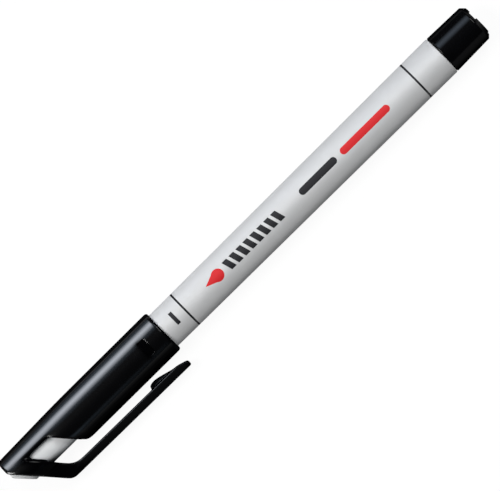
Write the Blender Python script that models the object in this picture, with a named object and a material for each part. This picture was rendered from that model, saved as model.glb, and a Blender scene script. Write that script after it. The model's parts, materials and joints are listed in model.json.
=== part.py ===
"""Overhead projector marker: a capped fine-tip marker that lies on a table, built as its separate pieces.

Sizes are in metres. Each piece is modelled in the marker's own frame: x runs along the axis from the
blunt end of the cap to the end of the plug, "reach" is the distance from the axis towards the clip
(-Y), and Z is across the clip's width. The root empty then lays the marker on the table, rolled until
the clip's edge and the cap both touch.
"""

import math

import bmesh
import bpy
from mathutils import Vector

# Fits
PRESS_GAP = 0.0001
CAP_CLEARANCE = 0.0001
SEAL_CLEARANCE = 0.0001
SPLIT_GAP = 0.00015

# Lengths along the axis
CAP_LENGTH = 0.0457
BARREL_SHOWN = 0.0844
PLUG_SHOWN = 0.0109
SEAT_LENGTH = 0.0080
SHOULDER_LENGTH = 0.0015
NECK_LENGTH = 0.0090
HOLDER_SHOWN = 0.0100
HOLDER_CONE = 0.0046
NIB_SHOWN = 0.0047

# Writing tip
NIB_RADIUS = 0.0008
NIB_POINT_RADIUS = 0.00035
NIB_POINT_LENGTH = 0.0017
NIB_IN_RESERVOIR = 0.0080
HOLDER_TIP_WALL = 0.00035
HOLDER_SEAL_RADIUS = 0.00265
HOLDER_TAIL_RADIUS = 0.00225
HOLDER_TAIL_LENGTH = 0.0080

# Ink store
RESERVOIR_RADIUS = 0.0032
FILM_THICKNESS = 0.00012

# Barrel walls
NECK_WALL = 0.00105
FRONT_WALL = 0.00097
REAR_WALL = 0.00135
BARREL_FLOOR = 0.0010
BARREL_END_ROUND = 0.00025
CLICK_HEIGHT = 0.00006
CLICK_WIDTH = 0.0012
CLICK_FROM_FRONT = 0.0018

# Cap walls
CAP_WALL = 0.0008
WAIST_WALL = 0.00076
TOP_WALL = 0.00128
STEP_HEIGHT = 0.0004
CAP_TAPER_LENGTH = 0.0180
MOUTH_ROUND = 0.00075
TOP_ROUND = 0.0006
END_PLATE = 0.0020

# Slanted end and window of the cap
SLANT_ANGLE = math.radians(48.8)
SLANT_AT_AXIS = 0.0015
BAR_WIDTH = 0.0032
WINDOW_WIDTH = 0.0054
WINDOW_TOP = 0.0016
WINDOW_ROUND = 0.0007

# Inner cap that seals the tip
LINER_WALL = 0.0008
LINER_END = 0.0009
LINER_PROUD = 0.00076
LINER_SET_BACK = 0.0003
FLANGE_LENGTH = 0.0024
LINER_MOUTH_GAP = 0.0003

# Pocket clip
CLIP_WIDTH = 0.0042
CLIP_THICKNESS = 0.00205
CLIP_GAP = 0.0017
CLIP_SPLAY = math.radians(0.45)
CLIP_SHORT_OF_MOUTH = 0.00075
CLIP_EDGE_ROUND = 0.0003
ELBOW_OUTER_ROUND = 0.0020
ELBOW_INNER_ROUND = 0.0035
TIP_TAPER_LENGTH = 0.00335
TIP_TAPER_ANGLE = math.radians(16)
TIP_ROUND = 0.0006
BUMP_GAP = 0.0008
BUMP_WIDTH = 0.0026
BUMP_RISE = 0.0012
BUMP_CREST = 0.0016
BUMP_SLOPE = 0.0039
BUMP_ROUND = 0.0006
BUMP_ROOT = 0.0006

# End plug
PLUG_FRONT_RADIUS = 0.00484
PLUG_REAR_RADIUS = 0.00461
PLUG_CHAMFER = 0.0010
PLUG_EDGE_ROUND = 0.00025
PLUG_TAIL_LENGTH = 0.0085
PLUG_TAIL_WALL = 0.0009
PLUG_HOLLOW = 0.0120
DISH_RADIUS = 0.0030
DISH_DEPTH = 0.0012
NOTCH_WIDTH = 0.0026
NOTCH_DEPTH = 0.00033
NOTCH_COUNT = 3

# Fineness of round shapes
SEGMENTS = 48
ARC_STEPS = 5
CUT_MARGIN = 0.002
SMOOTH_BELOW = math.radians(35)

# Radii that follow from the walls and fits, from the inside out
WRAP_BORE = RESERVOIR_RADIUS + PRESS_GAP
WRAP_RADIUS = WRAP_BORE + FILM_THICKNESS
BARREL_BORE = WRAP_RADIUS + PRESS_GAP
BARREL_FRONT_RADIUS = BARREL_BORE + FRONT_WALL
BARREL_REAR_RADIUS = BARREL_BORE + REAR_WALL
BARREL_LENGTH_TAPERED = SEAT_LENGTH + BARREL_SHOWN
BARREL_SLOPE = (BARREL_REAR_RADIUS - BARREL_FRONT_RADIUS) / BARREL_LENGTH_TAPERED
BARREL_AT_MOUTH = BARREL_FRONT_RADIUS + BARREL_SLOPE * SEAT_LENGTH
NECK_BORE = HOLDER_TAIL_RADIUS + PRESS_GAP
NECK_RADIUS = NECK_BORE + NECK_WALL
HOLDER_BORE = NIB_RADIUS + PRESS_GAP
HOLDER_TIP_RADIUS = HOLDER_BORE + HOLDER_TIP_WALL
CAP_BORE = BARREL_AT_MOUTH + CAP_CLEARANCE
CAP_MOUTH_RADIUS = CAP_BORE + CAP_WALL
CAP_WAIST_RADIUS = CAP_BORE + WAIST_WALL
CAP_STEP_BORE = CAP_BORE - STEP_HEIGHT
LINER_BORE = HOLDER_SEAL_RADIUS + SEAL_CLEARANCE
LINER_RADIUS = LINER_BORE + LINER_WALL
LINER_HOLE = LINER_RADIUS + PRESS_GAP
FLANGE_RADIUS = CAP_BORE - PRESS_GAP
CAP_TOP_RADIUS = LINER_HOLE + TOP_WALL
PLUG_TAIL_RADIUS = BARREL_BORE - PRESS_GAP
PLUG_HOLLOW_RADIUS = PLUG_TAIL_RADIUS - PLUG_TAIL_WALL
PLUG_END_RADIUS = PLUG_REAR_RADIUS - PLUG_CHAMFER

# Places along the axis, from the blunt end of the cap
MOUTH_X = CAP_LENGTH
SEAT_X = MOUTH_X - SEAT_LENGTH
SHOULDER_X = SEAT_X - SHOULDER_LENGTH
NECK_X = SHOULDER_X - NECK_LENGTH
HOLDER_TIP_X = NECK_X - HOLDER_SHOWN
NIB_TIP_X = HOLDER_TIP_X - NIB_SHOWN
LINER_MOUTH_X = NECK_X - LINER_MOUTH_GAP
FLANGE_X = LINER_MOUTH_X - FLANGE_LENGTH
CAP_STEP_X = FLANGE_X - PRESS_GAP
BARREL_END_X = MOUTH_X + BARREL_SHOWN
PLUG_X = BARREL_END_X + PRESS_GAP
PLUG_TAIL_X = BARREL_END_X - PLUG_TAIL_LENGTH
RESERVOIR_X = SEAT_X + BARREL_FLOOR + PRESS_GAP
RESERVOIR_END_X = PLUG_TAIL_X - PRESS_GAP
OVERALL_LENGTH = BARREL_END_X + PLUG_SHOWN
CLIP_TIP_X = MOUTH_X - CLIP_SHORT_OF_MOUTH

# Reaches of the clip from the axis
CLIP_INNER = CAP_WAIST_RADIUS + CLIP_GAP
CLIP_OUTER = CLIP_INNER + CLIP_THICKNESS
ALONG_SLANT = Vector((math.cos(SLANT_ANGLE), math.sin(SLANT_ANGLE)))
OUT_OF_SLANT = Vector((-math.sin(SLANT_ANGLE), math.cos(SLANT_ANGLE)))


def slant_x(reach, depth=0.0):
    """Place along the axis of the slanted end, or of a plane that lies depth inside it."""
    return SLANT_AT_AXIS + depth / math.sin(SLANT_ANGLE) + reach / math.tan(SLANT_ANGLE)


ELBOW_X = slant_x(CLIP_OUTER)


def splayed(x, reach):
    """Reach of a strap line at x, when the line has this reach at the elbow."""
    return reach + (x - ELBOW_X) * math.tan(CLIP_SPLAY)


# The clip's joint lies where the bar's outer face meets the split that frees the clip.
HINGE_REACH = CAP_WAIST_RADIUS + BAR_WIDTH * math.cos(SLANT_ANGLE)
HINGE_X = slant_x(HINGE_REACH)

# Rest on the table: the roll that brings the clip's rounded edge level with the lowest line of the cap
EDGE_REACH = splayed(CLIP_TIP_X, CLIP_OUTER) - CLIP_EDGE_ROUND
EDGE_ACROSS = CLIP_WIDTH / 2 - CLIP_EDGE_ROUND
EDGE_DISTANCE = math.hypot(EDGE_REACH, EDGE_ACROSS)
ROLL = math.asin((CAP_MOUTH_RADIUS - CLIP_EDGE_ROUND) / EDGE_DISTANCE) - math.atan2(EDGE_ACROSS, EDGE_REACH)
CLIP_SIDE_Y = EDGE_REACH * math.cos(ROLL) + EDGE_ACROSS * math.sin(ROLL) + CLIP_EDGE_ROUND
AXIS_Y = (CLIP_SIDE_Y - CAP_MOUTH_RADIUS) / 2


# Outlines
def rounded(corners):
    """Points of an outline whose corners are (a, b) or (a, b, round); round corners become arcs."""
    points = []
    for i, corner in enumerate(corners):
        here = Vector(corner[:2])
        radius = corner[2] if len(corner) > 2 else 0.0
        if radius == 0.0:
            points.append(here)
            continue
        back = (Vector(corners[i - 1][:2]) - here).normalized()
        ahead = (Vector(corners[(i + 1) % len(corners)][:2]) - here).normalized()
        half = back.angle(ahead) / 2
        middle = here + (back + ahead).normalized() * radius / math.sin(half)
        start = here + back * radius / math.tan(half) - middle
        sweep = start.angle_signed(here + ahead * radius / math.tan(half) - middle)
        for step in range(ARC_STEPS + 1):
            turn = -sweep * step / ARC_STEPS
            c, s = math.cos(turn), math.sin(turn)
            points.append(middle + Vector((c * start.x - s * start.y, s * start.x + c * start.y)))
    return points


def turned(corners):
    """A mesh turned about the axis from (x, radius) corners; a ring unless the outline meets the axis."""
    points = rounded(corners)
    mesh = bmesh.new()
    verts = [mesh.verts.new((x, 0, radius)) for x, radius in points]
    edges = [mesh.edges.new(pair) for pair in zip(verts, verts[1:])]
    if min(radius for x, radius in points) > 0:
        edges.append(mesh.edges.new((verts[-1], verts[0])))
    bmesh.ops.spin(mesh, geom=verts + edges, axis=(1, 0, 0), angle=math.tau, steps=SEGMENTS, use_merge=True)
    bmesh.ops.remove_doubles(mesh, verts=mesh.verts, dist=1e-7)
    bmesh.ops.recalc_face_normals(mesh, faces=mesh.faces)
    return mesh


def prism(corners, width, origin=(0, 0)):
    """A mesh of this width across the clip from (x, reach) corners, measured from an origin."""
    mesh = bmesh.new()
    outline = [(x - origin[0], origin[1] - reach, -width / 2) for x, reach in rounded(corners)]
    face = mesh.faces.new([mesh.verts.new(point) for point in outline])
    made = bmesh.ops.extrude_face_region(mesh, geom=[face])["geom"]
    moved = [item for item in made if isinstance(item, bmesh.types.BMVert)]
    bmesh.ops.translate(mesh, verts=moved, vec=(0, 0, width))
    bmesh.ops.recalc_face_normals(mesh, faces=mesh.faces)
    return mesh


def cut_by_slant(mesh, depth):
    """Takes away what lies outside the plane at this depth inside the slanted end, and closes the cut."""
    plane_co = (slant_x(0, depth), 0, 0)
    plane_no = (OUT_OF_SLANT.x, -OUT_OF_SLANT.y, 0)
    everything = mesh.verts[:] + mesh.edges[:] + mesh.faces[:]
    bmesh.ops.bisect_plane(mesh, geom=everything, plane_co=plane_co, plane_no=plane_no, clear_outer=True)
    rim = [edge for edge in mesh.edges if edge.is_boundary]
    bmesh.ops.edgeloop_fill(mesh, edges=rim)
    bmesh.ops.recalc_face_normals(mesh, faces=mesh.faces)


# Scene helpers
def plastic(name, color, roughness, metallic=0.0):
    material = bpy.data.materials.new(name)
    material.use_nodes = True
    shader = material.node_tree.nodes["Principled BSDF"]
    shader.inputs["Base Color"].default_value = (*color, 1)
    shader.inputs["Roughness"].default_value = roughness
    shader.inputs["Metallic"].default_value = metallic
    return material


def empty(name, parent, location=(0, 0, 0)):
    holder = bpy.data.objects.new(name, None)
    holder.empty_display_size = CAP_MOUTH_RADIUS
    holder.parent = parent
    holder.location = location
    bpy.context.scene.collection.objects.link(holder)
    return holder


def piece(name, mesh, material, parent):
    data = bpy.data.meshes.new(name)
    mesh.to_mesh(data)
    mesh.free()
    data.materials.append(material)
    data.shade_smooth()
    data.set_sharp_from_angle(angle=SMOOTH_BELOW)
    body = bpy.data.objects.new(name, data)
    body.parent = parent
    bpy.context.scene.collection.objects.link(body)
    return body


def joined(body, operation, name, mesh):
    """Adds a Boolean whose other half is a hidden helper in the same place."""
    helper = piece(name, mesh, body.data.materials[0], body.parent)
    helper.hide_render = True
    helper.display_type = "WIRE"
    boolean = body.modifiers.new(name, "BOOLEAN")
    boolean.operation = operation
    boolean.solver = "EXACT"
    boolean.object = helper
    return helper


def clear_scene():
    for existing in list(bpy.data.objects):
        bpy.data.objects.remove(existing)


# Pieces of the pen
def make_barrel(material, parent):
    click_x = SEAT_X + CLICK_FROM_FRONT
    click_radius = BARREL_FRONT_RADIUS + BARREL_SLOPE * CLICK_FROM_FRONT
    corners = [
        (NECK_X, NECK_BORE),
        (NECK_X, NECK_RADIUS, BARREL_END_ROUND),
        (SHOULDER_X, NECK_RADIUS),
        (SEAT_X, BARREL_FRONT_RADIUS, BARREL_END_ROUND),
        (click_x - CLICK_WIDTH / 2, click_radius),
        (click_x, click_radius + CLICK_HEIGHT),
        (click_x + CLICK_WIDTH / 2, click_radius),
        (BARREL_END_X, BARREL_REAR_RADIUS, BARREL_END_ROUND),
        (BARREL_END_X, BARREL_BORE),
        (SEAT_X + BARREL_FLOOR, BARREL_BORE),
        (SEAT_X + BARREL_FLOOR, NECK_BORE),
    ]
    return piece("barrel", turned(corners), material, parent)


def make_nib_holder(material, parent):
    corners = [
        (HOLDER_TIP_X, HOLDER_BORE),
        (HOLDER_TIP_X, HOLDER_TIP_RADIUS),
        (HOLDER_TIP_X + HOLDER_CONE, HOLDER_SEAL_RADIUS),
        (NECK_X - PRESS_GAP, HOLDER_SEAL_RADIUS),
        (NECK_X - PRESS_GAP, HOLDER_TAIL_RADIUS),
        (NECK_X + HOLDER_TAIL_LENGTH, HOLDER_TAIL_RADIUS),
        (NECK_X + HOLDER_TAIL_LENGTH, HOLDER_BORE),
    ]
    return piece("nib_holder", turned(corners), material, parent)


def make_nib(material, parent):
    end_x = RESERVOIR_X + NIB_IN_RESERVOIR
    corners = [
        (NIB_TIP_X, 0),
        (NIB_TIP_X, NIB_POINT_RADIUS, NIB_POINT_RADIUS / 2),
        (NIB_TIP_X + NIB_POINT_LENGTH, NIB_RADIUS),
        (end_x, NIB_RADIUS),
        (end_x, 0),
    ]
    return piece("nib", turned(corners), material, parent)


def make_ink_reservoir(material, parent):
    socket = NIB_RADIUS + PRESS_GAP
    socket_end_x = RESERVOIR_X + NIB_IN_RESERVOIR + PRESS_GAP
    corners = [
        (socket_end_x, 0),
        (socket_end_x, socket),
        (RESERVOIR_X, socket),
        (RESERVOIR_X, RESERVOIR_RADIUS),
        (RESERVOIR_END_X, RESERVOIR_RADIUS),
        (RESERVOIR_END_X, 0),
    ]
    return piece("ink_reservoir", turned(corners), material, parent)


def make_reservoir_wrap(material, parent):
    corners = [
        (RESERVOIR_X, WRAP_BORE),
        (RESERVOIR_X, WRAP_RADIUS),
        (RESERVOIR_END_X, WRAP_RADIUS),
        (RESERVOIR_END_X, WRAP_BORE),
    ]
    return piece("reservoir_wrap", turned(corners), material, parent)


def make_end_plug(material, parent):
    dish_x = OVERALL_LENGTH - DISH_DEPTH
    hollow_end_x = PLUG_TAIL_X + PLUG_HOLLOW
    corners = [
        (hollow_end_x, 0),
        (hollow_end_x, PLUG_HOLLOW_RADIUS),
        (PLUG_TAIL_X, PLUG_HOLLOW_RADIUS),
        (PLUG_TAIL_X, PLUG_TAIL_RADIUS),
        (PLUG_X, PLUG_TAIL_RADIUS),
        (PLUG_X, PLUG_FRONT_RADIUS, PLUG_EDGE_ROUND),
        (OVERALL_LENGTH - PLUG_CHAMFER, PLUG_REAR_RADIUS),
        (OVERALL_LENGTH, PLUG_END_RADIUS),
        (OVERALL_LENGTH, DISH_RADIUS),
        (dish_x, DISH_RADIUS),
        (dish_x, 0),
    ]
    body = piece("end_plug", turned(corners), material, parent)
    for i in range(NOTCH_COUNT):
        mesh = bmesh.new()
        bmesh.ops.create_cube(mesh, size=1)
        long = PLUG_FRONT_RADIUS
        bmesh.ops.scale(mesh, verts=mesh.verts, vec=(2 * NOTCH_DEPTH, long, NOTCH_WIDTH))
        bmesh.ops.translate(mesh, verts=mesh.verts, vec=(OVERALL_LENGTH, -DISH_RADIUS / 2 - long / 2, 0))
        helper = joined(body, "DIFFERENCE", f"notch_{i + 1}", mesh)
        helper.rotation_euler.x = math.tau * i / NOTCH_COUNT
    return body


# Pieces of the cap
def make_cap_shell(material, parent):
    corners = [
        (0, 0),
        (0, CAP_TOP_RADIUS, TOP_ROUND),
        (CAP_TAPER_LENGTH, CAP_WAIST_RADIUS),
        (MOUTH_X, CAP_MOUTH_RADIUS, MOUTH_ROUND),
        (MOUTH_X, 0),
    ]
    body = piece("cap_shell", turned(corners), material, parent)

    # The bar that carries the clip starts as a block across the cap, and the cuts below give it its faces.
    split = Vector((HINGE_X, HINGE_REACH))
    across = -OUT_OF_SLANT
    root = split - ALONG_SLANT * BAR_WIDTH * 2
    block = [
        split - across * CUT_MARGIN,
        split + across * (BAR_WIDTH + CUT_MARGIN),
        root + across * (BAR_WIDTH + CUT_MARGIN),
        root - across * CUT_MARGIN,
    ]
    joined(body, "UNION", "bar_block", prism([tuple(point) for point in block], CLIP_WIDTH))

    # Slanted end
    span = CAP_LENGTH / 2
    far = CAP_LENGTH / 2
    wedge = [
        (slant_x(-span), -span),
        (slant_x(span), span),
        (slant_x(span) - far, span),
        (slant_x(-span) - far, -span),
    ]
    joined(body, "DIFFERENCE", "slant_cut", prism(wedge, CAP_LENGTH))

    # Bore for the barrel, with a step that stops the inner cap, up to the slanted end plate
    bore = turned(
        [
            (END_PLATE, 0),
            (END_PLATE, CAP_STEP_BORE),
            (CAP_STEP_X, CAP_STEP_BORE),
            (CAP_STEP_X, CAP_BORE),
            (MOUTH_X + CUT_MARGIN, CAP_BORE),
            (MOUTH_X + CUT_MARGIN, 0),
        ]
    )
    cut_by_slant(bore, END_PLATE)
    joined(body, "DIFFERENCE", "bore_cut", bore)

    # Hole in the end plate for the inner cap
    hole_end_x = CAP_STEP_X - CUT_MARGIN
    hole = turned(
        [
            (-CUT_MARGIN, 0),
            (-CUT_MARGIN, LINER_HOLE),
            (hole_end_x, LINER_HOLE),
            (hole_end_x, 0),
        ]
    )
    joined(body, "DIFFERENCE", "liner_hole_cut", hole)

    # Window between the bar and the rest of the cap, open towards the clip
    low = CLIP_OUTER + CUT_MARGIN
    window = [
        (slant_x(-WINDOW_TOP, BAR_WIDTH), -WINDOW_TOP, WINDOW_ROUND),
        (slant_x(-WINDOW_TOP, BAR_WIDTH + WINDOW_WIDTH), -WINDOW_TOP, WINDOW_ROUND),
        (slant_x(low, BAR_WIDTH + WINDOW_WIDTH), low),
        (slant_x(low, BAR_WIDTH), low),
    ]
    joined(body, "DIFFERENCE", "window_cut", prism(window, CAP_LENGTH))
    return body


def make_inner_cap(material, parent):
    outside = turned(
        [
            (LINER_SET_BACK, 0),
            (LINER_SET_BACK, LINER_RADIUS),
            (FLANGE_X, LINER_RADIUS),
            (FLANGE_X, FLANGE_RADIUS),
            (LINER_MOUTH_X, FLANGE_RADIUS),
            (LINER_MOUTH_X, 0),
        ]
    )
    cut_by_slant(outside, -LINER_PROUD)
    body = piece("inner_cap", outside, material, parent)
    hollow = turned(
        [
            (LINER_SET_BACK + LINER_END, 0),
            (LINER_SET_BACK + LINER_END, LINER_BORE),
            (LINER_MOUTH_X + CUT_MARGIN, LINER_BORE),
            (LINER_MOUTH_X + CUT_MARGIN, 0),
        ]
    )
    cut_by_slant(hollow, LINER_END - LINER_PROUD)
    joined(body, "DIFFERENCE", "liner_hollow_cut", hollow)
    return body


def make_pocket_clip(material, parent):
    start = Vector((HINGE_X, HINGE_REACH)) + ALONG_SLANT * SPLIT_GAP
    start_inner = start - OUT_OF_SLANT * BAR_WIDTH
    inner_elbow_x = slant_x(CLIP_INNER, BAR_WIDTH)
    taper_x = CLIP_TIP_X - TIP_TAPER_LENGTH
    tip_inner = splayed(taper_x, CLIP_INNER) + TIP_TAPER_LENGTH * math.tan(TIP_TAPER_ANGLE)
    strap = [
        tuple(start),
        (ELBOW_X, CLIP_OUTER, ELBOW_OUTER_ROUND),
        (CLIP_TIP_X, splayed(CLIP_TIP_X, CLIP_OUTER), TIP_ROUND),
        (CLIP_TIP_X, tip_inner, TIP_ROUND),
        (taper_x, splayed(taper_x, CLIP_INNER)),
        (inner_elbow_x, splayed(inner_elbow_x, CLIP_INNER), ELBOW_INNER_ROUND),
        tuple(start_inner),
    ]
    hinge = (HINGE_X, HINGE_REACH)
    body = piece("pocket_clip", prism(strap, CLIP_WIDTH, hinge), material, parent)
    rounding = body.modifiers.new("edge_round", "BEVEL")
    rounding.width = CLIP_EDGE_ROUND
    rounding.segments = 2
    rounding.limit_method = "ANGLE"
    rounding.angle_limit = SMOOTH_BELOW

    # Rib under the strap that grips the cloth
    crest = CAP_WAIST_RADIUS + BUMP_GAP
    crest_end_x = taper_x - BUMP_SLOPE
    crest_x = crest_end_x - BUMP_CREST
    bump_x = crest_x - BUMP_RISE
    bump = [
        (bump_x, splayed(bump_x, CLIP_INNER) + BUMP_ROOT),
        (bump_x, splayed(bump_x, CLIP_INNER)),
        (crest_x, crest, BUMP_ROUND),
        (crest_end_x, crest, BUMP_ROUND),
        (taper_x, splayed(taper_x, CLIP_INNER)),
        (taper_x, splayed(taper_x, CLIP_INNER) + BUMP_ROOT),
    ]
    joined(body, "UNION", "clip_bump", prism(bump, BUMP_WIDTH, hinge))
    return body


def build():
    clear_scene()
    black = plastic("black_cap_plastic", (0.012, 0.012, 0.014), 0.3)
    matte_black = plastic("black_plug_plastic", (0.012, 0.012, 0.014), 0.45)
    silver = plastic("silver_grey_plastic", (0.62, 0.63, 0.64), 0.4)
    grey = plastic("light_grey_plastic", (0.60, 0.61, 0.62), 0.45)
    holder_grey = plastic("holder_plastic", (0.60, 0.61, 0.62), 0.4)
    tip = plastic("tip_fibre", (0.02, 0.02, 0.022), 0.7)
    fibre = plastic("ink_fibre", (0.03, 0.03, 0.035), 0.95)
    film = plastic("clear_film", (0.75, 0.77, 0.80), 0.25)

    root = empty("marker_root", None, (-OVERALL_LENGTH / 2, AXIS_Y, CAP_MOUTH_RADIUS))
    root.rotation_euler.x = ROLL
    cap = empty("cap_slide_axis", root)
    hinge = empty("clip_hinge_axis", cap, (HINGE_X, -HINGE_REACH, 0))

    make_barrel(silver, root)
    make_nib_holder(holder_grey, root)
    make_nib(tip, root)
    make_ink_reservoir(fibre, root)
    make_reservoir_wrap(film, root)
    make_end_plug(matte_black, root)
    make_cap_shell(black, cap)
    make_inner_cap(grey, cap)
    make_pocket_clip(black, hinge)


build()
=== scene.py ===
# %% [markdown]
# # Overhead projector marker
# A capped fine-tip marker lies on a pale table and is seen from above. The CAD model is loaded as a fixed frame, and
# each piece that shows is modelled again in finer form in the same place: the black cap with its clip, the grey inner
# cap behind the window, the silver-grey barrel with its print, the end plug, and the writing tip under the cap.

# %% Load the frame
import json
import math

import bmesh
import bpy
from mathutils import Matrix, Vector


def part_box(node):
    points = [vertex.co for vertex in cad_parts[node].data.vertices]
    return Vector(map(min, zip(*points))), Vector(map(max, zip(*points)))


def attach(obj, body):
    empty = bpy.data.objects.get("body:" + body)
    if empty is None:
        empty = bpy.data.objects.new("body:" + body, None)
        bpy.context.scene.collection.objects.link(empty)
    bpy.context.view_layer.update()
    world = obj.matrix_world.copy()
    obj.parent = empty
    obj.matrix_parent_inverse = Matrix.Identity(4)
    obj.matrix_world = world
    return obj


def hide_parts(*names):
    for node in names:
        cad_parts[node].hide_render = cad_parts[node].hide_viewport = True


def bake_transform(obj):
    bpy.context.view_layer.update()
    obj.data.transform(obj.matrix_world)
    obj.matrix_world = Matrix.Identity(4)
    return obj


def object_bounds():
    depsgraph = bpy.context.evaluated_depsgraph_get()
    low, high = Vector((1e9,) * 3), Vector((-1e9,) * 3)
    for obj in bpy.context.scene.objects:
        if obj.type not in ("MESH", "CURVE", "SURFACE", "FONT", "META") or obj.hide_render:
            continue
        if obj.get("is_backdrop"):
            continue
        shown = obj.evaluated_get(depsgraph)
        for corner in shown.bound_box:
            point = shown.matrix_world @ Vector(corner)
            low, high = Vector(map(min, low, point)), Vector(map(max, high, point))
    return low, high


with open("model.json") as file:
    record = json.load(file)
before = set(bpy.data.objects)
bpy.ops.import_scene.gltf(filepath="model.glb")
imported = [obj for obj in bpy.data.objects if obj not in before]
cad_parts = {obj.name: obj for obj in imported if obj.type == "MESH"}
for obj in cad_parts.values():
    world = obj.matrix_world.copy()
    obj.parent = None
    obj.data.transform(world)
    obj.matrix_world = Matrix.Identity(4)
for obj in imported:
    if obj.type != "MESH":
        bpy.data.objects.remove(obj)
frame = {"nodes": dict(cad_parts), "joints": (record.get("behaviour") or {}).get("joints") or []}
scene = bpy.context.scene
cad_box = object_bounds()
print("CAD nodes:", ", ".join(sorted(frame["nodes"])))

# %% [markdown]
# The marker rests on its cap and on one edge of its clip, so it lies rolled by some degrees. A rolled shape is awkward
# to model. Every piece is therefore made straight, in millimetres, in the marker's own frame: x runs along the axis
# from the blunt end of the cap, -y points to the clip and z across the clip. One matrix, measured from the frame,
# then lays the finished mesh in its place, so the object itself stays at the origin, unturned and unscaled.

# %% The marker's own frame
MM = 0.001
barrel_low, barrel_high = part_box("barrel")
cap_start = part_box("cap_shell")[0].x
hinge = next(joint for joint in frame["joints"] if joint["name"] == "clip_flex")
to_viewer = -Vector(hinge["axis"])
roll = math.atan2(-to_viewer.y, to_viewer.z)
axis_middle = (barrel_low + barrel_high) / 2
on_table = Matrix.Translation((cap_start, axis_middle.y, axis_middle.z)) @ Matrix.Rotation(roll, 4, "X")
place = on_table @ Matrix.Scale(MM, 4)
along_axis = Vector((1, 0, 0))
to_clip = on_table.to_3x3() @ Vector((0, -1, 0))
print(f"The marker is rolled {math.degrees(roll):.1f} degrees, its axis is {axis_middle.z / MM:.2f} mm up")

# %% [markdown]
# ## Table, camera and light
# The marker was pictured from straight above its flat side, with a long lens, so that it shows almost no perspective.
# The camera therefore stands far away on the line that looks across the clip, turned in its own plane until the marker
# runs up to the right.

# %% Camera
IMAGE_WIDTH = 500
PIXELS_PER_MM = 4.632
CAMERA_DISTANCE = 1.64
PICTURE_TURN = math.radians(44.7)
LOOK_AT = Vector((71.88, -0.05, 0.0))

right = math.cos(PICTURE_TURN) * along_axis + math.sin(PICTURE_TURN) * to_clip
up = math.sin(PICTURE_TURN) * along_axis - math.cos(PICTURE_TURN) * to_clip
lens = bpy.data.cameras.new("camera")
lens.sensor_width = 36
lens.lens = PIXELS_PER_MM / IMAGE_WIDTH * lens.sensor_width * CAMERA_DISTANCE / MM
lens.clip_end = 20
camera = bpy.data.objects.new("camera", lens)
turn = Matrix((right, up, to_viewer)).transposed().to_4x4()
camera.matrix_world = Matrix.Translation(place @ LOOK_AT + to_viewer * CAMERA_DISTANCE) @ turn
scene.collection.objects.link(camera)
scene.camera = camera
scene.view_settings.view_transform = "Standard"
print(f"Lens {lens.lens:.0f} mm at {CAMERA_DISTANCE} m")

# %% [markdown]
# A material is a small graph of nodes. These helpers make the graphs below short to write. The first adds a node with
# its settings and values, the next a step of arithmetic, and the last starts a material and returns it with its tree
# and its surface shader.

# %% Node helpers
def add_node(tree, kind, inputs=None, **settings):
    """Adds a node. An input is set to a value, or linked if it is another node's output."""
    node = tree.nodes.new(kind)
    for name, value in settings.items():
        setattr(node, name, value)
    for name, value in (inputs or {}).items():
        if isinstance(value, bpy.types.NodeSocket):
            tree.links.new(value, node.inputs[name])
        else:
            node.inputs[name].default_value = value
    return node


def add_math(tree, operation, a, b=0.0):
    """Adds one step of arithmetic on numbers or other nodes' outputs, and returns its result."""
    return add_node(tree, "ShaderNodeMath", {0: a, 1: b}, operation=operation).outputs[0]


def new_material(name, **values):
    """A material with its tree and its Principled shader, whose plain values are given by socket name."""
    material = bpy.data.materials.new(name)
    material.use_nodes = True
    shader = material.node_tree.nodes["Principled BSDF"]
    for socket, value in values.items():
        shader.inputs[socket.replace("_", " ")].default_value = value
    return material, material.node_tree, shader


# %% [markdown]
# The floor is one large plain sheet. If it were lit until it shows as white, it would also throw much light up at the
# marker and wash out its dark side. Its material therefore asks a Light Path node what kind of ray meets it. The
# camera, and any ray that was mirrored or let through, finds a white sheet that still takes the marker's shadow. All
# other light finds a dim grey one.

# %% Floor
FLOOR_SIZE, FLOOR_GAP = 6.0, 0.00002
FLOOR_GLOW, FLOOR_SHADE = 0.94, 0.06
floor_mesh = bmesh.new()
bmesh.ops.create_grid(floor_mesh, x_segments=2, y_segments=2, size=FLOOR_SIZE)
floor_data = bpy.data.meshes.new("floor")
floor_mesh.to_mesh(floor_data)
floor_mesh.free()
floor = bpy.data.objects.new("floor", floor_data)
floor.location.z = cad_box[0].z - FLOOR_GAP
scene.collection.objects.link(floor)
floor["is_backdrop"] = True

paper, tree, shader = new_material(
    "floor_paper", Base_Color=(0.20, 0.20, 0.20, 1), Roughness=1.0, Specular_IOR_Level=0.0
)
floor_data.materials.append(paper)
ray = add_node(tree, "ShaderNodeLightPath").outputs
shows = ray["Is Camera Ray"]
for kind in ("Is Glossy Ray", "Is Transmission Ray"):
    shows = add_math(tree, "MAXIMUM", shows, ray[kind])
glow = add_node(tree, "ShaderNodeEmission", {"Color": (1.0, 1.0, 1.0, 1), "Strength": FLOOR_GLOW})
shade = add_node(tree, "ShaderNodeBsdfDiffuse", {"Color": (FLOOR_SHADE, FLOOR_SHADE, FLOOR_SHADE, 1)})
white = add_node(tree, "ShaderNodeAddShader", {0: glow.outputs[0], 1: shade.outputs[0]})
seen = add_node(tree, "ShaderNodeMixShader", {0: shows, 1: shader.outputs[0], 2: white.outputs[0]})
tree.links.new(seen.outputs[0], tree.nodes["Material Output"].inputs["Surface"])
print("Floor laid at the lowest point of the marker")

# %% [markdown]
# The light is a plain studio set, worked out from what the glossy cap mirrors. Two soft key lamps stand beyond the ends
# of the marker: a round bar can't mirror them towards the camera, so they light the barrel and leave the black plastic
# black. A close soft box behind the marker gives the cap its bright line. A longer, weaker and bluer one beside it
# softens the edges of that line, and a small one does the same work for the plug. On the clip's side a weak lamp with a
# narrow beam adds the cap's faint second line.

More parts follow.
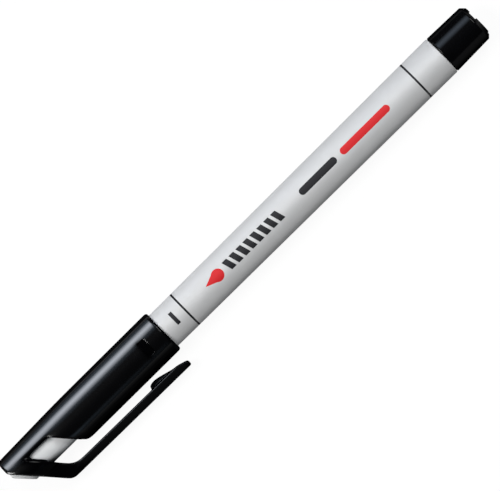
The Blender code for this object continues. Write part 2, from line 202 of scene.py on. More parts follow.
# %% Lamps
def add_lamp(name, across, along, distance, size, watts, colour, middle=70.5, spread=180):
    """An area lamp that faces the marker: across is its angle from the camera towards the clip, along its angle
    towards the plug's end, middle the place on the axis that it faces, spread the width of its beam."""
    a, b = math.radians(across), math.radians(along)
    way = math.cos(b) * (math.cos(a) * to_viewer + math.sin(a) * to_clip) + math.sin(b) * along_axis
    lamp = bpy.data.lights.new(name, "AREA")
    lamp.shape = "RECTANGLE"
    lamp.size, lamp.size_y = size
    lamp.spread = math.radians(spread)
    lamp.energy = watts
    lamp.color = colour
    holder = bpy.data.objects.new(name, lamp)
    side = along_axis - way * along_axis.dot(way)
    side.normalize()
    facing = Matrix((side, way.cross(side), way)).transposed().to_4x4()
    holder.matrix_world = Matrix.Translation(place @ Vector((middle, 0, 0)) + way * distance) @ facing
    scene.collection.objects.link(holder)


KEY_SIZE, KEY_DISTANCE, WHITE = (0.5, 0.9), 1.8, (1.0, 1.0, 1.0)
BOX_LENGTH, BOX_DISTANCE, BOX_MIDDLE = 0.148, 0.45, -4
add_lamp("key_lamp_cap_side", -23, -28, KEY_DISTANCE, KEY_SIZE, watts=22.0, colour=WHITE)
add_lamp("key_lamp_plug_side", -22, 28, KEY_DISTANCE, KEY_SIZE, watts=15.5, colour=WHITE)
add_lamp("fill_lamp", 61, -9, 1.2, (0.2, 0.6), watts=0.014, colour=(0.62, 0.80, 1.0), spread=30)
add_lamp(
    "cap_soft_box", -67.5, 0, BOX_DISTANCE, (BOX_LENGTH, 0.46),
    watts=0.087, colour=(0.89, 0.92, 1.0), middle=BOX_MIDDLE, spread=46,
)
add_lamp(
    "cap_wide_box", -70, 0, BOX_DISTANCE, (BOX_LENGTH, 0.82),
    watts=0.080, colour=(0.64, 0.81, 1.0), middle=BOX_MIDDLE, spread=84,
)
add_lamp(
    "plug_soft_box", -49, 0, 0.35, (0.09, 0.40),
    watts=0.028, colour=(0.68, 0.81, 1.0), middle=166, spread=45,
)

world = bpy.data.worlds.new("studio")
scene.world = world
world.use_nodes = True
background = world.node_tree.nodes["Background"].inputs
background["Color"].default_value = (0.9, 0.95, 1.0, 1)
background["Strength"].default_value = 0.02

# %% [markdown]
# ## Finishes that several pieces share
# Moulded plastic is never perfectly even. The skin of the mould leaves a very fine grain, and the gloss drifts a little
# from place to place. Several pieces have this skin, each with its own grain, so it is a node group: it reads the
# object's coordinates and puts out a height for the bump and a roughness that varies.

# %% Moulded skin group
def new_group(name, inputs, *outputs):
    """A node group that takes in these numbers, each with its usual value, and puts out those. It is returned with
    the sockets that the nodes in it start from and end at."""
    group = bpy.data.node_groups.new(name, "ShaderNodeTree")
    for socket, value in inputs.items():
        group.interface.new_socket(socket, in_out="INPUT", socket_type="NodeSocketFloat").default_value = value
    for socket in outputs:
        group.interface.new_socket(socket, in_out="OUTPUT", socket_type="NodeSocketFloat")
    return group, group.nodes.new("NodeGroupInput").outputs, group.nodes.new("NodeGroupOutput").inputs


CLOUD_SCALE = 160.0
skin, given, result = new_group(
    "moulded_skin", {"Grain": 4000.0, "Gloss Drift": 0.05, "Roughness": 0.3}, "Height", "Roughness"
)
where = add_node(skin, "ShaderNodeTexCoord").outputs["Object"]
grain = add_node(skin, "ShaderNodeTexNoise", {"Vector": where, "Scale": given["Grain"], "Detail": 2.0})
cloud = add_node(skin, "ShaderNodeTexNoise", {"Vector": where, "Scale": CLOUD_SCALE, "Detail": 3.0})
drift = add_math(skin, "SUBTRACT", cloud.outputs["Fac"], 0.5)
drift = add_math(skin, "MULTIPLY", drift, given["Gloss Drift"])
skin.links.new(grain.outputs["Fac"], result["Height"])
skin.links.new(add_math(skin, "ADD", given["Roughness"], drift), result["Roughness"])


def add_skin(tree, shader, grain, drift, roughness, height, strength=0.2):
    """Puts the moulded skin on a shader: its own roughness, and a bump of this height in metres."""
    values = {"Grain": grain, "Gloss Drift": drift, "Roughness": roughness}
    node = add_node(tree, "ShaderNodeGroup", values, node_tree=skin)
    tree.links.new(node.outputs["Roughness"], shader.inputs["Roughness"])
    bump = add_node(tree, "ShaderNodeBump", {"Strength": strength, "Distance": height})
    tree.links.new(node.outputs["Height"], bump.inputs["Height"])
    tree.links.new(bump.outputs["Normal"], shader.inputs["Normal"])


print("Group:", skin.name)

# %% [markdown]
# The gloss of moulded plastic lies in a clear skin on top of its colour, so it is the shader's coat. Seen almost flat,
# the fine grain hides that gloss, and the rim of a round black piece stays black. A Layer Weight node in the material
# tells how flat a place is seen. This group takes the coat away there, and also where a mask that is painted on the
# mesh says that the skin is rubbed dull.

# %% Gloss group
SKIN_IOR = 1.65
dulled, given, result = new_group(
    "dulled_gloss", {"Facing": 0.0, "Gloss": 0.5, "Start": 0.3, "End": 0.6, "Rubbed Share": 1.0}, "Gloss"
)
limits = {
    "Value": given["Facing"], "From Min": given["Start"], "From Max": given["End"],
    "To Min": given["Gloss"], "To Max": 0.0,
}
flat = add_node(dulled, "ShaderNodeMapRange", limits, interpolation_type="SMOOTHSTEP")
mask = add_node(dulled, "ShaderNodeAttribute", attribute_name="rubbed").outputs["Fac"]
left = add_node(dulled, "ShaderNodeMapRange", {"Value": mask, "To Min": 1.0, "To Max": given["Rubbed Share"]})
dulled.links.new(add_math(dulled, "MULTIPLY", flat.outputs[0], left.outputs[0]), result["Gloss"])


def add_gloss(tree, shader, level, start, end, roughness, share=1.0):
    """Puts a clear coat on a shader. It is whole where it faces the viewer, fades as it is seen flatter, from start
    to end, and only this share of it is left where it is rubbed."""
    shader.inputs["Specular IOR Level"].default_value = 0.0
    shader.inputs["Coat Roughness"].default_value = roughness
    shader.inputs["Coat IOR"].default_value = SKIN_IOR
    facing = add_node(tree, "ShaderNodeLayerWeight", {"Blend": 0.5}).outputs["Facing"]
    values = {"Facing": facing, "Gloss": level, "Start": start, "End": end, "Rubbed Share": share}
    node = add_node(tree, "ShaderNodeGroup", values, node_tree=dulled)
    tree.links.new(node.outputs["Gloss"], shader.inputs["Coat Weight"])


print("Group:", dulled.name)

# %% [markdown]
# Handling leaves faint cloudy marks on plastic, where it is a touch lighter. This group gives a soft, sparse mask for
# them, from two noises of different size.

# %% Handling marks group
FINE_SCALE = 2600.0
MIX_FACTOR, MIX_FIRST, MIX_SECOND, MIX_COLOUR = 0, 6, 7, 2
marks, given, result = new_group("handling_marks", {"Size": 300.0}, "Mask")
where = add_node(marks, "ShaderNodeTexCoord").outputs["Object"]
broad = add_node(marks, "ShaderNodeTexNoise", {"Vector": where, "Scale": given["Size"], "Detail": 4.0})
patch = add_node(marks, "ShaderNodeMapRange", {"Value": broad.outputs["Fac"], "From Min": 0.5, "From Max": 0.75})
fine = add_node(marks, "ShaderNodeTexNoise", {"Vector": where, "Scale": FINE_SCALE, "Detail": 2.0})
marks.links.new(add_math(marks, "MULTIPLY", patch.outputs[0], fine.outputs["Fac"]), result["Mask"])


def add_colour(tree, shader, mask, first, second):
    """Sets a base colour that goes from the first to the second as the mask rises, and returns it."""
    values = {MIX_FACTOR: mask, MIX_FIRST: first, MIX_SECOND: second}
    colour = add_node(tree, "ShaderNodeMix", values, data_type="RGBA").outputs[MIX_COLOUR]
    tree.links.new(colour, shader.inputs["Base Color"])
    return colour


def add_marked_colour(tree, shader, plain, marked, size):
    """Sets a base colour that goes from plain to marked where the plastic was handled."""
    mask = add_node(tree, "ShaderNodeGroup", {"Size": size}, node_tree=marks).outputs["Mask"]
    return add_colour(tree, shader, mask, plain, marked)


print("Group:", marks.name)

# %% [markdown]
# ## Turned shapes
# Almost every piece of a marker is a round moulding, so it starts as half of its long section: a line of corners, each
# given by its place on the axis and its radius. Corners may carry a rounding. The spin operator turns that line about
# the axis. A line that starts and ends on the axis gives a closed body, and a closed line gives a ring with a hole.

# %% Outlines and turning
def rounded(corners, steps=4):
    """Points of an outline whose corners are (a, b) or (a, b, rounding); a rounding becomes an arc."""
    points = []
    for i, corner in enumerate(corners):
        here = Vector(corner[:2])
        if len(corner) < 3:
            points.append(here)
            continue
        back = (Vector(corners[i - 1][:2]) - here).normalized()
        ahead = (Vector(corners[(i + 1) % len(corners)][:2]) - here).normalized()
        half = back.angle(ahead) / 2
        middle = here + (back + ahead).normalized() * corner[2] / math.sin(half)
        start = here + back * corner[2] / math.tan(half) - middle
        sweep = start.angle_signed(here + ahead * corner[2] / math.tan(half) - middle)
        points += [middle + Matrix.Rotation(-sweep * k / steps, 2) @ start for k in range(steps + 1)]
    return points


def turned(corners, segments, closed=True):
    """A mesh turned about the axis from (x, radius) corners. A closed outline gives a ring."""
    mesh = bmesh.new()
    verts = [mesh.verts.new((x, -radius, 0)) for x, radius in rounded(corners)]
    ends = verts[1:] + verts[:1] if closed else verts[1:]
    edges = [mesh.edges.new(pair) for pair in zip(verts, ends)]
    bmesh.ops.spin(
        mesh, geom=verts + edges, cent=(0, 0, 0), axis=(1, 0, 0), angle=math.tau, steps=segments, use_merge=True
    )
    bmesh.ops.remove_doubles(mesh, verts=mesh.verts, dist=1e-4)
    bmesh.ops.recalc_face_normals(mesh, faces=mesh.faces)
    return mesh


def finished(name, mesh, material, sharp=30):
    """Lays a mesh on the table and makes it a piece of the marker. Bends over sharp degrees show as edges."""
    bmesh.ops.transform(mesh, matrix=place, verts=mesh.verts)
    data = bpy.data.meshes.new(name)
    mesh.to_mesh(data)
    mesh.free()
    data.materials.append(material)
    data.shade_smooth()
    data.set_sharp_from_angle(angle=math.radians(sharp))
    piece = bpy.data.objects.new(name, data)
    scene.collection.objects.link(piece)
    print(f"{name}: {len(data.polygons)} faces")
    return piece


# %% [markdown]
# ## Barrel
# The barrel is a slightly tapered tube of silver-grey plastic. Its front is a narrow neck that the cap covers, with a
# small bead that makes the cap click. It is turned from one section. While the mesh is still straight, each face gets
# its place in a map of the unrolled surface: millimetres along the axis, and millimetres round it from the side that
# faces the camera. The print uses that map.

# %% Barrel
BARREL_SEGMENTS = 128
barrel_outline = [
    (27.2, 2.35),
    (27.2, 3.40, 0.25),
    (36.2, 3.40),
    (37.7, 4.49, 0.25),
    (38.9, 4.495),
    (39.5, 4.557),
    (40.1, 4.50),
    (70.0, 4.623),
    (100.0, 4.746),
    (130.2, 4.87, 0.25),
    (130.2, 3.52),
    (38.7, 3.52),
    (38.7, 2.35),
]
barrel_mesh = turned(barrel_outline, BARREL_SEGMENTS)

UNROLLED_RADIUS = 4.7
unrolled = barrel_mesh.loops.layers.uv.new("unrolled")
for face in barrel_mesh.faces:
    middle = face.calc_center_median()
    centre_turn = math.atan2(-middle.y, middle.z)
    for loop in face.loops:
        spot = loop.vert.co
        step = math.atan2(-spot.y, spot.z) - centre_turn
        step = (step + math.pi) % math.tau - math.pi
        loop[unrolled].uv = (spot.x, (centre_turn + step) * UNROLLED_RADIUS)
print("Barrel map: millimetres along and round the barrel")

# %% [markdown]
# The barrel is satin silver grey, with a print on it. The print is made of plain shapes only: two thin black rings that
# frame the printed field, a short bar, a red ink drop with a row of slanted black bars, and two round-ended stripes in
# black and red. Each shape is a mask worked out from the unrolled map by a few math nodes, so its edges stay sharp at
# any size, where a picture would blur.

# %% Print masks
def print_math(operation, a, b=0.0):
    """One step of arithmetic in the barrel's material."""
    return add_math(silver_tree, operation, a, b)


def within(value, middle, half):
    """1 where the value is nearer to the middle than half."""
    return print_math("LESS_THAN", print_math("ABSOLUTE", print_math("SUBTRACT", value, middle)), half)


def stripe(start, end, height, thick):
    """A straight stripe with round ends: all that is nearer than half its thickness to its middle line."""
    nearest = add_node(silver_tree, "ShaderNodeClamp", {"Value": along, "Min": start, "Max": end}).outputs[0]
    away_along = print_math("SUBTRACT", along, nearest)
    away_round = print_math("SUBTRACT", around, height)
    squares = print_math("ADD", print_math("POWER", away_along, 2.0), print_math("POWER", away_round, 2.0))
    return print_math("LESS_THAN", squares, (thick / 2) ** 2)


def both(a, b):
    """1 where both masks are 1."""
    return print_math("MULTIPLY", a, b)


def either(*masks):
    """1 where any of the masks is 1."""
    joined = masks[0]
    for mask in masks[1:]:
        joined = print_math("MAXIMUM", joined, mask)
    return joined


silver, silver_tree, silver_shader = new_material("barrel_silver", Metallic=0.13)
unrolled_map = add_node(silver_tree, "ShaderNodeUVMap", uv_map="unrolled")
spread = add_node(silver_tree, "ShaderNodeSeparateXYZ", {0: unrolled_map.outputs["UV"]})
along, around = spread.outputs["X"], spread.outputs["Y"]

RING_PLACES, RING_WIDTH = (52.2, 122.3), 0.46
rings = either(*[within(along, ring, RING_WIDTH / 2) for ring in RING_PLACES])

PRINT_MIDDLE = -0.30
SHORT_BAR_AT, SHORT_BAR_WIDTH, SHORT_BAR_LENGTH = 49.3, 0.9, 3.4
level = print_math("SUBTRACT", around, PRINT_MIDDLE)
short_bar = both(within(along, SHORT_BAR_AT, SHORT_BAR_WIDTH / 2), within(level, 0.0, SHORT_BAR_LENGTH / 2))

BARS_FROM, BARS_TO, BAR_LENGTH = 65.2, 81.8, 2.7
BAR_PITCH, BAR_SHARE, BAR_SLOPE = 2.1, 0.66, -0.28
leaning = print_math("ADD", along, print_math("MULTIPLY", level, BAR_SLOPE))
count = print_math("DIVIDE", print_math("SUBTRACT", leaning, BARS_FROM), BAR_PITCH)
in_row = both(
    within(leaning, (BARS_FROM + BARS_TO) / 2, (BARS_TO - BARS_FROM) / 2),
    within(level, 0.0, BAR_LENGTH / 2),
)
bars = both(print_math("LESS_THAN", print_math("FRACT", count), BAR_SHARE), in_row)

DROP_AT, DROP_ROUND, DROP_LENGTH = 62.4, 1.5, 3.6
drop_body = stripe(DROP_AT, DROP_AT, PRINT_MIDDLE, 2 * DROP_ROUND)
drop_run = print_math("DIVIDE", print_math("SUBTRACT", DROP_AT, along), DROP_LENGTH)
drop_side = print_math("MULTIPLY", print_math("SUBTRACT", 1.0, drop_run), DROP_ROUND)
drop_tip = both(
    print_math("GREATER_THAN", drop_run, 0.0),
    print_math("LESS_THAN", print_math("ABSOLUTE", level), drop_side),
)
drop = either(drop_body, drop_tip)

STRIPE_THICK = 1.7
black_stripe = stripe(88.2, 97.4, PRINT_MIDDLE, STRIPE_THICK)
red_stripe = stripe(100.6, 113.4, PRINT_MIDDLE, STRIPE_THICK)
black_print = either(rings, short_bar, bars, black_stripe)
red_print = either(drop, red_stripe)
print("Print: rings, bar, drop with bars, two stripes")

# %% [markdown]
# The ink lies in the paint, with no thickness of its own, so one material has both. Two Mix nodes lay the red and
# then the black print over the silver, which has the shared skin, gloss and handling marks and a trace of metal.

# %% Barrel finish
SILVER, SILVER_MARKED = (0.596, 0.596, 0.594, 1), (0.65, 0.65, 0.648, 1)
BLACK_INK, RED_INK = (0.010, 0.010, 0.013, 1), (0.62, 0.012, 0.016, 1)
add_skin(silver_tree, silver_shader, grain=5200.0, drift=0.08, roughness=0.52, strength=0.25, height=0.00002)
add_gloss(silver_tree, silver_shader, level=0.4, start=0.3, end=0.7, roughness=0.52)
paint = add_marked_colour(silver_tree, silver_shader, SILVER, SILVER_MARKED, size=240.0)
for print_mask, ink in ((red_print, RED_INK), (black_print, BLACK_INK)):
    paint = add_colour(silver_tree, silver_shader, print_mask, paint, ink)

barrel = finished("barrel_tube", barrel_mesh, silver)
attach(barrel, "pen")
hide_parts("barrel")

# %% [markdown]
# ## End plug
# The black plug that closes the barrel is turned too. Smooth shading would spread the bend of its rounded edges over
# the whole side and break up the highlight. One more ring beside each rounding holds the side straight.

# %% End plug
PLUG_SEGMENTS = 96
PLUG_END = 141.0
NOTCH_FLOOR = PLUG_END - 0.33
plug_outline = [
    (133.6, 0),
    (133.6, 2.52),
    (121.6, 2.52),
    (121.6, 3.42, 0.2),
    (130.3, 3.42),
    (130.3, 4.84, 0.25),
    (130.9, 4.826),
    (135.0, 4.73),
    (139.3, 4.627),
    (140.0, 4.61, 0.35),
    (NOTCH_FLOOR, 3.94),
    (PLUG_END, 3.61),
    (PLUG_END, 3.0),
    (NOTCH_FLOOR, 3.0),
    (139.8, 3.0),
    (139.8, 1.2),
    (139.8, 0),
]
plug_mesh = turned(plug_outline, PLUG_SEGMENTS, closed=False)
print(f"Plug turned: {len(plug_mesh.faces)} faces")

# %% [markdown]
# Three shallow notches in the plug's end face let air past when the cap is pushed on to it. Each is made from the faces
# of the end ring in its sector: they are extruded and set back to the notch's floor, which leaves upright walls at both
# sides. A narrow bevel then breaks the edges of the end.

# %% Air notches
NOTCH_HALF = math.radians(22.5)
END_FROM, END_RING = 139.9, 2.9
EDGE_BREAK, EDGE_ANGLE, SHORT_EDGE = 0.07, 0.5, 0.2


def extruded(mesh, faces):
    """Extrudes the faces, whose old place is left open, and returns the new faces and their points."""
    edges = dict.fromkeys(edge for face in faces for edge in face.edges)
    made = bmesh.ops.extrude_face_region(mesh, geom=[*faces, *edges])["geom"]
    new_faces = [item for item in made if isinstance(item, bmesh.types.BMFace)]
    return new_faces, [item for item in made if isinstance(item, bmesh.types.BMVert)]


def radius_of(spot):
    """How far a place lies from the axis."""
    return math.hypot(spot.y, spot.z)


def in_end_ring(vert):
    """Tells the points of the plug's end ring."""
    return vert.co.x > END_FROM and radius_of(vert.co) > END_RING


def in_notch(face):
    """Tells the faces of the end ring that lie in one of the three sectors."""
    spot = face.calc_center_median()
    if spot.x < NOTCH_FLOOR or radius_of(spot) < END_RING:
        return False
    turn = math.atan2(spot.z, -spot.y) % (math.tau / 3)
    return min(turn, math.tau / 3 - turn) < NOTCH_HALF


_, points = extruded(plug_mesh, [face for face in plug_mesh.faces if in_notch(face)])
for vert in points:
    vert.co.x = NOTCH_FLOOR
bmesh.ops.remove_doubles(plug_mesh, verts=plug_mesh.verts, dist=1e-3)
bmesh.ops.dissolve_degenerate(plug_mesh, edges=plug_mesh.edges, dist=1e-3)
edges = [e for e in plug_mesh.edges if e.is_manifold and all(in_end_ring(v) for v in e.verts)]
edges = [e for e in edges if e.calc_length() > SHORT_EDGE and e.calc_face_angle() > EDGE_ANGLE]
bmesh.ops.bevel(plug_mesh, geom=edges, offset=EDGE_BREAK, segments=2, profile=0.5, affect="EDGES", material=-1)
print(f"Notches cut, {len(edges)} edges broken")

# %% [markdown]
# The plug has the shared skin in black. It shines on the side away from the clip and is duller on the clip's side. A
# mask on the points says where, and it comes from the way that the surface faces there.

# %% Plug finish
def ramp(value, start, end):
    """0 up to start, 1 from end, and even between them."""
    return min(max((value - start) / (end - start), 0.0), 1.0)


def paint_side(mesh, name, start, end):
    """Paints a mask on the points: it goes from 0 to 1 as the surface turns towards the clip's side."""
    mesh.normal_update()
    layer = mesh.verts.layers.float.new(name)
    for vert in mesh.verts:
        vert[layer] = ramp(-vert.normal.y, start, end)
    return layer


PLUG_BLACK, PLUG_MARKED = (0.0018, 0.0018, 0.0022, 1), (0.003, 0.003, 0.0036, 1)
plug_black, tree, shader = new_material("plug_black")
add_skin(tree, shader, grain=3800.0, drift=0.06, roughness=0.15, height=0.00003)
add_marked_colour(tree, shader, PLUG_BLACK, PLUG_MARKED, size=260.0)
add_gloss(tree, shader, level=0.27, start=0.22, end=0.6, roughness=0.15, share=0.25)
paint_side(plug_mesh, "rubbed", 0.1, 0.35)
plug = finished("plug_with_notches", plug_mesh, plug_black)
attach(plug, "pen")
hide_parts("end_plug")

# %% [markdown]
# ## Writing tip
# Under the cap, a pale holder is pressed into the neck of the barrel and carries the nib, a thin rod of pressed fibre
# with a ground point. Both are turned from short outlines.

# %% Nib holder and nib
HOLDER_SEGMENTS, NIB_SEGMENTS = 64, 48
holder_outline = [
    (17.2, 0.9),
    (17.2, 1.25, 0.12),
    (18.4, 1.38),
    (18.6, 1.62, 0.08),
    (21.8, 2.65, 0.4),
    (24.2, 2.65, 0.1),
    (24.5, 2.55, 0.1),
    (24.8, 2.65, 0.1),
    (27.1, 2.65, 0.12),
    (27.1, 2.25),
    (35.2, 2.25, 0.2),
    (35.2, 0.9),
]
PALE_GREY, PALE_MARKED = (0.60, 0.605, 0.61, 1), (0.66, 0.665, 0.67, 1)
holder_grey, tree, shader = new_material("holder_grey")
add_skin(tree, shader, grain=4200.0, drift=0.08, roughness=0.38, height=0.00002)
add_marked_colour(tree, shader, PALE_GREY, PALE_MARKED, size=300.0)
holder = finished("tip_holder", turned(holder_outline, HOLDER_SEGMENTS), holder_grey)
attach(holder, "pen")
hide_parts("nib_holder")

nib_outline = [(12.5, 0), (12.5, 0.33, 0.16), (14.2, 0.80, 0.3), (46.8, 0.80), (46.8, 0)]
INKED, INKED_LIGHTER = (0.012, 0.012, 0.014, 1), (0.03, 0.03, 0.035, 1)
nib_fibre, tree, shader = new_material("nib_fibre", Specular_IOR_Level=0.2)
add_skin(tree, shader, grain=9000.0, drift=0.10, roughness=0.75, strength=0.6, height=0.00005)
add_marked_colour(tree, shader, INKED, INKED_LIGHTER, size=1500.0)
nib_mesh = turned(nib_outline, NIB_SEGMENTS, closed=False)
nib = finished("fibre_nib", nib_mesh, nib_fibre)
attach(nib, "pen")
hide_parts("nib")

# %% [markdown]
# ## Inner cap
# A pale grey cup inside the cap seals the tip. It shows through the cap's window, and its slanted end stands a little
# proud of the cap's end. The cup is turned like a straight cup and then leaned: each loop near the end is tilted to the
# slant, and the tilt fades out along the tube. That keeps the loops clean, where a cut would leave ragged faces.

# %% The slant
SLANT = math.radians(48.8)
LEAN = 1 / math.tan(SLANT)
END_ON_AXIS = 1.5
NEAR, SAME = 0.01, 0.001


def station(depth):
    """Where a plane that lies this deep inside the slanted end crosses the axis."""
    return END_ON_AXIS + depth / math.sin(SLANT)


def fade(value, start, end):
    """1 up to start, 0 from end, and smooth between them."""
    share = min(max((value - start) / (end - start), 0.0), 1.0)
    return 1 - share * share * (3 - 2 * share)


def reach_of(vert):
    """How far a point lies from the axis towards the clip."""
    return -vert.co.y


def depth_of(vert):
    """How deep a point lies inside the slanted end."""
    return (vert.co.x - END_ON_AXIS - LEAN * reach_of(vert)) * math.sin(SLANT)


def turn_of(spot):
    """The angle round the axis, from 0 at the clip to a half turn at the back, the same on both sides."""
    return math.atan2(abs(spot.z), -spot.y)


def set_round(vert, x, radius, turn, side):
    """Puts a point at its place along the axis, its radius and its angle round the axis."""
    vert.co = (x, -radius * math.cos(turn), side * radius * math.sin(turn))


print(f"The slant moves a loop {LEAN:.3f} mm along for each mm towards the clip")

# %% [markdown]
# The end of the cup is slanted, and blunt where it is furthest out. The points of its end face are turned a little, so
# that one pair of them lies on the corner between the two planes. Its rim gets a narrow bevel.

# %% Inner cap
INNER_SEGMENTS = 96
INNER_PROUD, HOLLOW_DEPTH = 0.76, 0.55
INNER_END, INNER_HOLLOW = station(-INNER_PROUD), station(HOLLOW_DEPTH)
INNER_BLUNT, HOLLOW_BLUNT = 0.3, 1.2
INNER_LEAN = (7.0, 12.5)
KINK_TURN = math.radians(105)
RIM_ROUND, RIM_ANGLE, RIM_WITHIN, RIM_RADIUS = 0.22, 0.6, 6, 3.4
inner_outline = [
    (INNER_HOLLOW, 0),
    (INNER_HOLLOW, 2.75),
    (14.0, 2.75),
    (26.9, 2.75),
    (26.9, 4.52, 0.2),
    (24.5, 4.52, 0.1),
    (24.5, 3.55),
    (19.0, 3.55),
    (13.1, 3.55),
    (13.0, 3.54),
    (9.0, 3.54),
    (6.0, 3.54),
    (INNER_END, 3.54),
    (INNER_END, 1.8),
    (INNER_END, 0),
]
inner_mesh = turned(inner_outline, INNER_SEGMENTS, closed=False)
kink_reach = (INNER_BLUNT - INNER_END) / LEAN
for vert in inner_mesh.verts:
    x, radius = vert.co.x, radius_of(vert.co)
    turn, side = turn_of(vert.co), 1 if vert.co.z >= 0 else -1
    at_end, at_hollow = x < INNER_END + NEAR, x < INNER_HOLLOW + NEAR
    if at_end and radius > NEAR:
        kink = math.acos(kink_reach / radius)
        share = turn / KINK_TURN if turn < KINK_TURN else (math.pi - turn) / (math.pi - KINK_TURN)
        turn = kink * share if turn < KINK_TURN else math.pi - (math.pi - kink) * share
    moved = x + LEAN * fade(x, *INNER_LEAN) * radius * math.cos(turn)
    lowest = INNER_BLUNT if at_end else HOLLOW_BLUNT if at_hollow else 0.0
    set_round(vert, max(moved, lowest), radius, turn, side)
rim = [e for e in inner_mesh.edges if e.calc_face_angle(0) > RIM_ANGLE]
rim = [e for e in rim if all(v.co.x < RIM_WITHIN and radius_of(v.co) > RIM_RADIUS for v in e.verts)]
bmesh.ops.bevel(inner_mesh, geom=rim, offset=RIM_ROUND, segments=3, profile=0.5, affect="EDGES", material=-1)
print(f"Inner cap leaned, {len(rim)} rim edges rounded")

# %% [markdown]
# The cup is milky: light goes in and spreads before it comes out again, so its shader has some subsurface scattering.
# Shade is also painted into its colour. A mask makes it darker where the least light gets in: on the clip's side near
# the clip's bar, on the side away from the clip, which shows along the other edge of the window, and a little over its
# end as far as the window. The end that stands proud is solid and gets none of this painted shade.

# %% Inner cap finish
MILKY, MILKY_MARKED = (0.91, 0.925, 0.93, 1), (0.94, 0.95, 0.955, 1)
PAINTED_SHADE_COLOUR = (0.03, 0.034, 0.036, 1)
CLIP_SIDE, OTHER_EDGE = (0.52, 0.84), (-0.03, 0.16)
BAR_DEPTHS, OVERALL_DEPTHS, PROUD_DEPTHS = (4.2, 6.8), (6.0, 8.0), (0.0, 1.0)
EDGE_SHADE, OVERALL_SHADE = 0.48, 0.16
inner_grey, tree, shader = new_material(
    "inner_cap_grey", Subsurface_Weight=0.8, Subsurface_Scale=0.0015, Subsurface_Radius=(1.0, 1.0, 1.0)
)
add_skin(tree, shader, grain=3000.0, drift=0.10, roughness=0.36, height=0.00003)
milky = add_marked_colour(tree, shader, MILKY, MILKY_MARKED, size=320.0)
# Painted shade: the mask below mixes a dark tone into the base colour where less light reaches the cup.
painted_shade_fac = add_node(tree, "ShaderNodeAttribute", attribute_name="painted_shade").outputs["Fac"]
add_colour(tree, shader, painted_shade_fac, milky, PAINTED_SHADE_COLOUR)
add_gloss(tree, shader, level=0.4, start=0.2, end=0.6, roughness=0.36)

# The painted-shade mask: clip's side near the bar, side away from the clip, a little over the end, none on the proud
# end.
painted_shade = paint_side(inner_mesh, "painted_shade", *CLIP_SIDE)
for vert in inner_mesh.verts:
    depth = depth_of(vert)
    near_bar = vert[painted_shade] * (1 - ramp(depth, *BAR_DEPTHS))
    at_edge = EDGE_SHADE * ramp(vert.normal.y, *OTHER_EDGE)
    overall = OVERALL_SHADE * (1 - ramp(depth, *OVERALL_DEPTHS))
    vert[painted_shade] = max(near_bar, at_edge, overall) * ramp(depth, *PROUD_DEPTHS)
inner_cap = finished("sealing_cup", inner_mesh, inner_grey, sharp=35)
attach(inner_cap, "cap")
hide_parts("inner_cap")

# %% [markdown]
# ## Cap with its clip
# The cap and its clip are one black moulding. It could be cut out with Boolean modifiers, but those leave long thin
# faces that spoil a glossy surface. Here the moulding is a cage of four-sided faces that a Subdivision Surface rounds
# off. The cage starts as a straight cup, turned with loops where the window will have its edges. The faces of the
# window are deleted in the outer and the inner wall, and the two rims are bridged.

# %% Cap cage
CAP_SEGMENTS = 48
BAND, WINDOW_END = 3.2, 8.6
END_LOOP, PLATE = 1.6, 2.0
ROUND_LOSS = (1 - math.cos(math.tau / CAP_SEGMENTS)) / 3
OUTER_NOMINAL, MOUTH_BORE, DEEP_BORE, END_HOLE = 5.4, 4.623, 4.223, 3.65
loops = [station(d) for d in (0, END_LOOP, BAND, 5.0, 6.8, WINDOW_END)]
outer_wall = [(x, OUTER_NOMINAL) for x in (*loops, 16.0, 19.5, 24.4, 30.0, 35.0, 39.1, 39.45, 41.5, 43.4, 44.6)]
lip = [(45.0, 5.39), (45.28, 5.355), (45.5, 5.25), (45.645, 5.06), (45.69, 4.83), (45.58, 4.66)]
bore = [(x, MOUTH_BORE) for x in (44.4, 39.0, 32.0, 26.0, 24.4)]
bore += [(x, DEEP_BORE) for x in (24.4, 19.5, 16.0, *loops[:1:-1])]
plate = [(station(PLATE), DEEP_BORE), (station(PLATE), END_HOLE), (station(0), END_HOLE)]
cap_mesh = turned(outer_wall + lip + bore + plate, CAP_SEGMENTS)


def spots(faces):
    """The faces, each with its middle."""
    return [(face, face.calc_center_median()) for face in faces]


WINDOW_TURN = math.radians(112.5)
WALL_FROM = 4.0
window = [
    face
    for face, spot in spots(cap_mesh.faces)
    if station(BAND) < spot.x < station(WINDOW_END)
    and turn_of(spot) < WINDOW_TURN
    and radius_of(spot) > WALL_FROM
]
bmesh.ops.delete(cap_mesh, geom=window, context="FACES")
bmesh.ops.bridge_loops(cap_mesh, edges=[edge for edge in cap_mesh.edges if edge.is_boundary])
print(f"Window: {len(window)} faces taken out, cage now {len(cap_mesh.faces)} faces")

# %% [markdown]
# Two groups of faces are picked while the cage is still straight, because they are easy to name there: the patch that
# the clip grows from, and the small field near the mouth that is set back a little. Then the cage is leaned like the
# inner cap, with the outer wall following the cap's taper and the columns beside the window and the clip pushed to
# their exact places. The walls of the window get a little draft, as a mould needs, and its far corner is pulled round.

